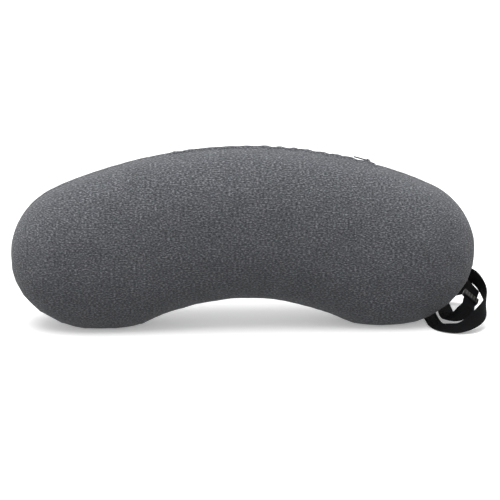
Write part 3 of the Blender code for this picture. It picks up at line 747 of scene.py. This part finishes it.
for name, side in (("front", -1), ("back", 1)):
    teeth = mesh_of("zip_teeth", zip_teeth(side))
    add_piece(f"zip_teeth_{name}", teeth, COIL, "pillow", (f"zipper_coil_{name}",))
    repaint(f"zipper_tape_{name}", TAPE)

for name in ("zipper_slider", "zipper_pull"):
    refined(f"{name}_finished", name, CASTING, METAL_EDGE)
for name in ("zipper_top_stop", "zipper_bottom_stop"):
    refined(f"{name}_finished", name, CASTING, STOP_EDGE)

for name in ("liner_front", "liner_back"):
    repaint(name, LINING)
repaint("foam_core", FOAM)


# ---------------------------------------------------------------- the belt
BACK = BVHTree.FromPolygons([vert.co for vert in nodes["cover_back"].data.vertices],
                            [face.vertices[:] for face in nodes["cover_back"].data.polygons])
WRAP_RADIUS = hypot(BUCKLE_BAR, BUCKLE_PLATE) / 2 + FIT
WRAP_TURNS = [radians(angle) for angle in (115, 90, 60, 30, 0)]
ACROSS = 8                # faces across the webbing


def on_back(x, z, above):
    """The point this far out from the back panel at x, z."""
    point, normal, _, _ = BACK.ray_cast(Vector((x, THICKNESS, z)), Vector((0, -1, 0)))
    return point + normal * above


def sewn_root(x, z, heading):
    """Stations of a strap's sewn length, which lies on its patch."""
    above = PATCH_LIFT + PATCH_WALL + SEWN_GAP + WEBBING_WALL / 2
    along_x, along_z = heading
    stations = []
    for k in range(SEWN_STEPS):
        run = SEWN_LENGTH * (k / (SEWN_STEPS - 1) - 0.5)
        middle_x, middle_z = x + run * along_x, z + run * along_z
        reach_x, reach_z = abs(along_z) * WEBBING_WIDTH / 2, abs(along_x) * WEBBING_WIDTH / 2
        edge = (on_back(middle_x + reach_x, middle_z + reach_z, 0)
                - on_back(middle_x - reach_x, middle_z - reach_z, 0))
        stations.append((on_back(middle_x, middle_z, above), edge))
    return stations


def bar_wrap(bar, incoming, edge):
    """Stations round a buckle's bar: in on one side, round it, and back along the other side."""
    incoming = incoming.normalized()
    edge = (edge - incoming * edge.dot(incoming)).normalized()
    over = edge.cross(incoming)
    radius = WRAP_RADIUS + WEBBING_WALL / 2
    together = WEBBING_WALL / 2 + FIT / 2
    upper = [(-RETURN_LENGTH, together), (-WRAP_START * radius, together)]
    upper += [(radius * cos(angle), radius * sin(angle)) for angle in WRAP_TURNS]
    path = upper + [(run, -rise) for run, rise in reversed(upper[:-1])]
    return [(bar + incoming * run + over * rise, edge) for run, rise in path]


def smooth_stations(stations):
    """Sections at an even step on the smooth curve through the stations, each (point, edge direction)."""
    points = [Vector(point) for point, _ in stations]
    edges = [Vector(edge).normalized() for _, edge in stations]
    tangents = [
        (points[min(i + 1, len(points) - 1)] - points[max(i - 1, 0)]) / 2 for i in range(len(points))
    ]
    found = []
    for i in range(len(points) - 1):
        span = (points[i + 1] - points[i]).length
        shrink = [min(1.0, span / tangent.length) / 3 for tangent in tangents[i:i + 2]]
        steps = max(round(span / WEBBING_STEP), 1) * 3
        curve = interpolate_bezier(points[i], points[i] + tangents[i] * shrink[0],
                                   points[i + 1] - tangents[i + 1] * shrink[1], points[i + 1], steps + 1)
        shares = [step / steps for step in range(steps)]
        found += [(point, edges[i].lerp(edges[i + 1], share)) for point, share in zip(curve, shares)]
    found.append((points[-1], edges[-1]))
    return found


def strap(name, stations, node):
    """The webbing as a grid moved onto its sections, and the line down its middle."""
    sections = smooth_stations(stations)
    bm = bmesh.new()
    bmesh.ops.create_grid(bm, x_segments=len(sections) - 1, y_segments=ACROSS, size=0.5)
    runs = [0.0]
    for (start, _), (end, _) in zip(sections, sections[1:]):
        runs.append(runs[-1] + (end - start).length)
    spots = {}
    for vert in bm.verts:
        i = round((vert.co.x + 0.5) * (len(sections) - 1))
        share = vert.co.y
        point, edge = sections[i]
        heading = sections[min(i + 1, len(sections) - 1)][0] - sections[max(i - 1, 0)][0]
        edge = (edge - heading * edge.dot(heading) / heading.length_squared).normalized()
        vert.co = point + edge * (share * WEBBING_WIDTH)
        spots[vert] = (runs[i], share * WEBBING_WIDTH)
    cloth = bm.loops.layers.uv.new("cloth")
    for face in bm.faces:
        for loop in face.loops:
            loop[cloth].uv = spots[loop.vert]
    bm.normal_update()
    piece = add_piece(name, mesh_of(name, bm, 60), WEBBING, "pillow", (node,))
    wall = piece.modifiers.new("wall", "SOLIDIFY")
    wall.thickness = WEBBING_WALL
    wall.offset = 0.0
    edges = piece.modifiers.new("edges", "BEVEL")
    edges.width = STRAP_EDGE
    edges.segments = 2
    edges.limit_method = "ANGLE"
    edges.angle_limit = radians(60)
    return piece, [point for point, _ in sections], runs[-1]


def frame_of(origin, along_x, along_y):
    """The matrix of a local frame with these X and Y directions at origin."""
    x_axis = along_x.normalized()
    z_axis = x_axis.cross(along_y).normalized()
    y_axis = z_axis.cross(x_axis)
    turned = Matrix((x_axis, y_axis, z_axis)).transposed().to_4x4()
    return Matrix.Translation(origin) @ turned


def grip_bars(name, place, body, centres, size, face, material):
    """Raised bars on both faces of a moulded piece. centres are (x, y) in the piece's own frame."""
    bm = bmesh.new()
    for x, y in centres:
        for z in (-face, face):
            shape = place @ Matrix.Translation((x, y, z)) @ Matrix.Diagonal((*size, 1.0))
            bmesh.ops.create_cube(bm, size=1.0, matrix=shape)
    bmesh.ops.bevel(bm, geom=bm.edges[:], offset=min(size) * 0.3, offset_type="OFFSET", segments=2,
                    profile=0.5, affect="EDGES", material=-1)
    bmesh.ops.recalc_face_normals(bm, faces=bm.faces)
    return add_piece(name, mesh_of(name, bm), material, body)


def seam_line(bm, start, end, above, length=0.0026, gap=0.0009):
    """A row of stitches on the back panel from start to end, each (x, z), this far out from it."""
    start, end = Vector(start), Vector(end)
    count = max(round((end - start).length / (length + gap)), 1)
    for k in range(count):
        ends = [start.lerp(end, (k + share) / count) for share in (0.12, 0.88)]
        first, second = (on_back(x, z, above) for x, z in ends)
        out = (on_back(*ends[0], above + 0.01) - first).normalized()
        stitch(bm, first, second, out, HEAVY_THREAD)


def root_stitching(name, x, z, patch_size, box_size):
    """A seam round the patch, and on the strap a sewn box with its two diagonals."""
    bm = bmesh.new()
    on_patch = PATCH_LIFT + PATCH_WALL
    on_strap = on_patch + SEWN_GAP + WEBBING_WALL
    for (wide, tall), above in ((patch_size, on_patch), (box_size, on_strap)):
        corners = [(x + a * wide / 2, z + b * tall / 2) for a, b in ((-1, -1), (1, -1), (1, 1), (-1, 1))]
        for k in range(4):
            seam_line(bm, corners[k], corners[(k + 1) % 4], above)
    seam_line(bm, corners[0], corners[2], on_strap)
    seam_line(bm, corners[1], corners[3], on_strap)
    bmesh.ops.recalc_face_normals(bm, faces=bm.faces)
    return add_piece(name, mesh_of(name, bm), BLACK_THREAD, "pillow")


tip = Vector((LENGTH / 2, 0, 0))
right_root_x = LENGTH / 2 - ROOT_FROM_TIP
route = [(Vector(point) + tip, Vector(edge)) for point, edge in RIGHT_ROUTE]
plug_bar = Vector(PLUG_PLACE) + tip
incoming = plug_bar - route[-1][0]
incoming.z = 0.0
right_stations = sewn_root(right_root_x, RIGHT_ROOT_HEIGHT, (1, 0)) + route
right_stations += bar_wrap(plug_bar, incoming, Vector((0, 1, 0)))
belt_right, right_path, right_length = strap("belt_right", right_stations, "belt_webbing_right")

left_root = sewn_root(-right_root_x, LEFT_ROOT_HEIGHT, (0, -1))
socket_bar = left_root[-1][0] + Vector(LEFT_HANG)
left_stations = left_root + bar_wrap(socket_bar, Vector((0, 0, -1)), Vector((1, 0, 0)))
strap("belt_left", left_stations, "belt_webbing_left")

keeper = refined("keeper_finished", "belt_keeper", PLASTIC, PLASTIC_EDGE)
plug = refined("plug_finished", "buckle_plug", PLASTIC, PLASTIC_EDGE)
arm_left = refined("arm_left_finished", "buckle_arm_left", PLASTIC, ARM_EDGE)
arm_right = refined("arm_right_finished", "buckle_arm_right", PLASTIC, ARM_EDGE)
refined("socket_finished", "buckle_socket", PLASTIC, PLASTIC_EDGE)
for name in ("belt_patch_right", "belt_patch_left"):
    repaint(name, PATCH)

seam_long = PATCH_LENGTH - 2 * SEAM_INSET
seam_wide = WEBBING_WIDTH + 2 * PATCH_MARGIN - 2 * SEAM_INSET
box_long = SEWN_LENGTH - 2 * SEAM_INSET
box_wide = WEBBING_WIDTH - 2 * SEAM_INSET
root_stitching("right_root_stitching", right_root_x, RIGHT_ROOT_HEIGHT,
               (seam_long, seam_wide), (box_long, box_wide))
root_stitching("left_root_stitching", -right_root_x, LEFT_ROOT_HEIGHT,
               (seam_wide, seam_long), (box_wide, box_long))

(keeper_start, start_edge), (keeper_end, end_edge) = route[KEEPER_SPAN:KEEPER_SPAN + 2]
keeper_middle = (keeper_start + keeper_end) / 2
keeper_place = frame_of(keeper_middle, keeper_end - keeper_start, start_edge + end_edge)
plug_place = frame_of(plug_bar, incoming, Vector((0, 1, 0)))
socket_place = frame_of(socket_bar, Vector((0, 0, -1)), Vector((1, 0, 0)))
keeper_centres = [(0.0, 0.0045 * (k - 2)) for k in range(5)]
plug_centres = [(0.0078 + 0.0018 * k, 0.0) for k in range(3)]
socket_centres = [(0.0180 + 0.0022 * k, 0.0) for k in range(4)]
# The keeper's bars take the painted-highlight grey; the plug's and socket's bars stay plain black.
keeper_bars = grip_bars("keeper_bars", keeper_place, "keeper", keeper_centres, KEEPER_BAR, KEEPER_FACE,
                        KEEPER_PAINTED_HIGHLIGHT)
plug_bars = grip_bars("plug_bars", plug_place, "plug", plug_centres, PLUG_BAR, PLUG_FACE, PLASTIC)
grip_bars("socket_bars", socket_place, "socket", socket_centres, SOCKET_BAR, SOCKET_FACE, PLASTIC)


# ---------------------------------------------------------------- floor, light and camera
def add_floor():
    bm = bmesh.new()
    bmesh.ops.create_grid(bm, x_segments=1, y_segments=1, size=6.0)
    floor = bpy.data.objects.new("floor", mesh_of("floor", bm))
    paper = Shader("white_paper", 0.9)
    paper.principled.inputs["Base Color"].default_value = (0.90, 0.90, 0.90, 1.0)
    paper.principled.inputs["Emission Color"].default_value = (1.0, 1.0, 1.0, 1.0)
    paper.principled.inputs["Emission Strength"].default_value = 0.30
    floor.data.materials.append(paper.material)
    floor.visible_diffuse = False
    bpy.context.scene.collection.objects.link(floor)


def add_sun(name, heading, spread, strength):
    light = bpy.data.lights.new(name, "SUN")
    light.angle = radians(spread)
    light.energy = strength
    holder = bpy.data.objects.new(name, light)
    holder.rotation_euler = Vector(heading).to_track_quat("-Z", "Y").to_euler()
    bpy.context.scene.collection.objects.link(holder)


def light_world(seen, above, below, lean):
    """A white backdrop to the camera. The object gets a soft light that fades from above to below,
    with its bright side along lean."""
    world = bpy.data.worlds.new("studio")
    bpy.context.scene.world = world
    world.use_nodes = True
    tree = world.node_tree
    background = tree.nodes["Background"]
    background.inputs["Color"].default_value = (1.0, 1.0, 1.0, 1.0)
    place = tree.nodes.new("ShaderNodeTexCoord")
    height = tree.nodes.new("ShaderNodeVectorMath")
    height.operation = "DOT_PRODUCT"
    height.inputs[1].default_value = Vector(lean).normalized()
    fade = tree.nodes.new("ShaderNodeMapRange")
    fade.interpolation_type = "SMOOTHSTEP"
    fade.inputs["From Min"].default_value = -0.6
    fade.inputs["From Max"].default_value = 0.6
    fade.inputs["To Min"].default_value = below
    fade.inputs["To Max"].default_value = above
    path = tree.nodes.new("ShaderNodeLightPath")
    level = tree.nodes.new("ShaderNodeMapRange")
    level.inputs["To Max"].default_value = seen
    tree.links.new(place.outputs["Generated"], height.inputs[0])
    tree.links.new(height.outputs["Value"], fade.inputs["Value"])
    tree.links.new(fade.outputs["Result"], level.inputs["To Min"])
    tree.links.new(path.outputs["Is Camera Ray"], level.inputs["Value"])
    tree.links.new(level.outputs["Result"], background.inputs["Strength"])


def add_camera():
    """A long lens, a little left of square on and a little above the pillow."""
    target = Vector((0.0, 0.0, 0.110))
    away, turned, raised = 2.30, radians(2.9), radians(13.5)
    heading = Vector((sin(turned) * cos(raised), cos(turned) * cos(raised), -sin(raised)))
    data = bpy.data.cameras.new("camera")
    data.lens = 119.9
    data.sensor_width = 36.0
    data.shift_x = 0.0125
    data.shift_y = -0.0095
    camera = bpy.data.objects.new("camera", data)
    camera.location = target - heading * away
    camera.rotation_euler = heading.to_track_quat("-Z", "Y").to_euler()
    bpy.context.scene.collection.objects.link(camera)
    bpy.context.scene.camera = camera


add_floor()
add_sun("overhead", (0.16, 0.20, -1.0), 45.0, 2.2)
light_world(1.05, 0.86, 0.22, (-0.14, 0.05, 1.0))
add_camera()
scene = bpy.context.scene
scene.view_settings.view_transform = "Standard"
